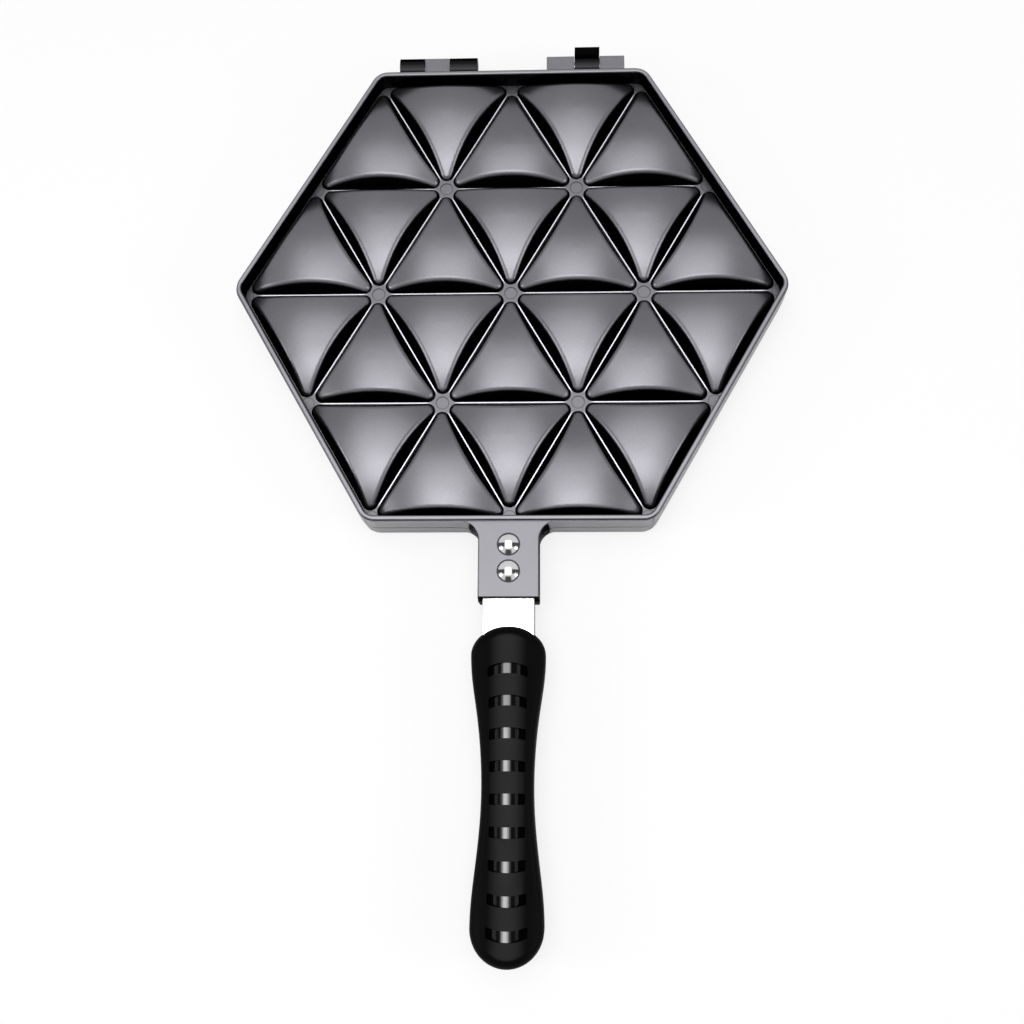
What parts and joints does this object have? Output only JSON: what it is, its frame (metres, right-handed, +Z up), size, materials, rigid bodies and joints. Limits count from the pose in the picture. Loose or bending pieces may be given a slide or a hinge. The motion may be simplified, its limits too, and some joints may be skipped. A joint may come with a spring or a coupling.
{
  "type": "samosa maker pan",
  "caption": "Hinged two-sided pan with triangular pockets in both halves and a split grip handle, for cooking sealed filled pastries",
  "frame": {"origin": "bottom centre of the closed pan's bounding box: the lower rim rests on Z = 0, the length is centred on Y = 0", "axes": "+Y from the grip's end to the hinge, along the whole length; +Z up, across the closed pan's thickness; +X to the right seen from the grip"},
  "size_m": [0.2632, 0.4377, 0.0266],
  "materials": {
    "pan_coating": "cast aluminium with a dark grey non-stick coating, semi-gloss",
    "stem_steel": "polished stainless strip",
    "rivet_steel": "polished rivet",
    "grip_gloss": "glossy black plastic",
    "grip_matt": "matt black soft-touch plastic",
    "screw_steel": "zinc-plated steel",
    "pin_steel": "plain steel pin"
  },
  "bodies": {
    "lower_half": {"lower_pan": "pan_coating", "lower_stem": "stem_steel", "lower_rivet_1": "rivet_steel", "lower_rivet_2": "rivet_steel", "lower_grip_core": "grip_gloss", "lower_grip_sleeve": "grip_matt", "lower_grip_screw_1": "screw_steel", "lower_grip_screw_2": "screw_steel", "lower_hinge_pin": "pin_steel"},
    "upper_half": {"upper_pan": "pan_coating", "upper_stem": "stem_steel", "upper_rivet_1": "rivet_steel", "upper_rivet_2": "rivet_steel", "upper_grip_core": "grip_gloss", "upper_grip_sleeve": "grip_matt", "upper_grip_screw_1": "screw_steel", "upper_grip_screw_2": "screw_steel", "upper_hinge_pin": "pin_steel"}
  },
  "joints": [
    {"name": "pan_hinge", "type": "hinge", "parent": "lower_half", "child": "upper_half", "pos_m": [0, 0.21195, 0.0133], "axis": [-1, 0, 0], "range_deg": [0, 180]}
  ]
}
